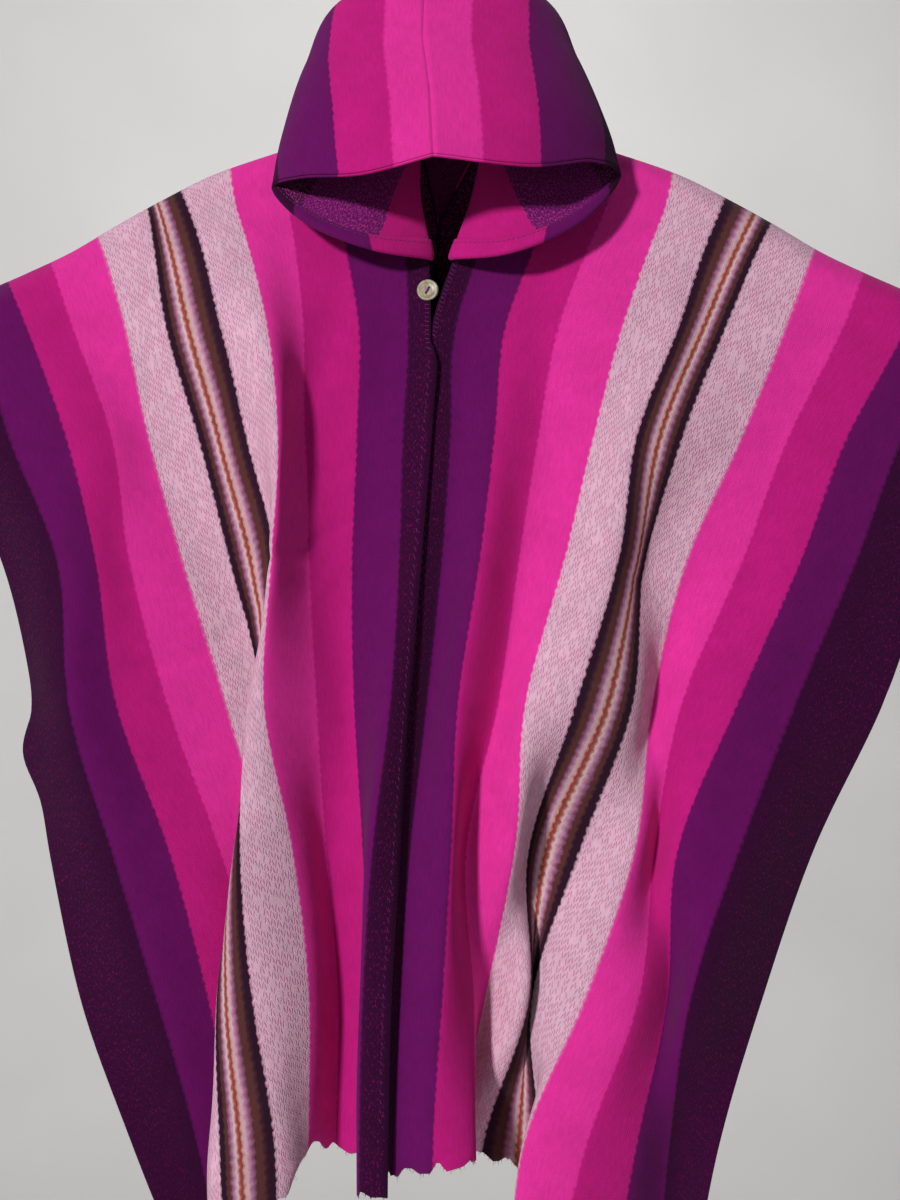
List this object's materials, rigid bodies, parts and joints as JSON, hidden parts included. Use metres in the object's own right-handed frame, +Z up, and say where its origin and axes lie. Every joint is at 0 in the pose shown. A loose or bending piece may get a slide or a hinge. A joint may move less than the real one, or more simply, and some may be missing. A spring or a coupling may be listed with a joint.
{
  "type": "hooded poncho on a hanger",
  "caption": "Hooded striped wool poncho with a slit neck and one button, hung on a plain wooden hanger with its hood up.",
  "frame": {"origin": "top of the hook's inside, where it bears on the rail or peg that holds it", "axes": "+Z up, -Y towards the viewer of the garment's front, +X to the right as seen from the front"},
  "size_m": [0.9488, 0.187, 1.2212],
  "materials": {
    "wool_stripes": "thick brushed wool, woven in purple, magenta, pink and pale stripes",
    "wool_hood": "the same striped wool, with turned and stitched edges",
    "horn": "mottled beige-grey, as coconut or horn, satin",
    "beech": "smooth pale wood, lightly waxed",
    "steel_wire": "bright drawn wire"
  },
  "bodies": {
    "root": {"front_left": "wool_stripes", "front_right": "wool_stripes", "back_left": "wool_stripes", "back_right": "wool_stripes", "hood_left": "wool_hood", "hood_right": "wool_hood", "button": "horn", "hanger_arms": "beech", "hanger_hook": "steel_wire"}
  },
  "joints": []
}
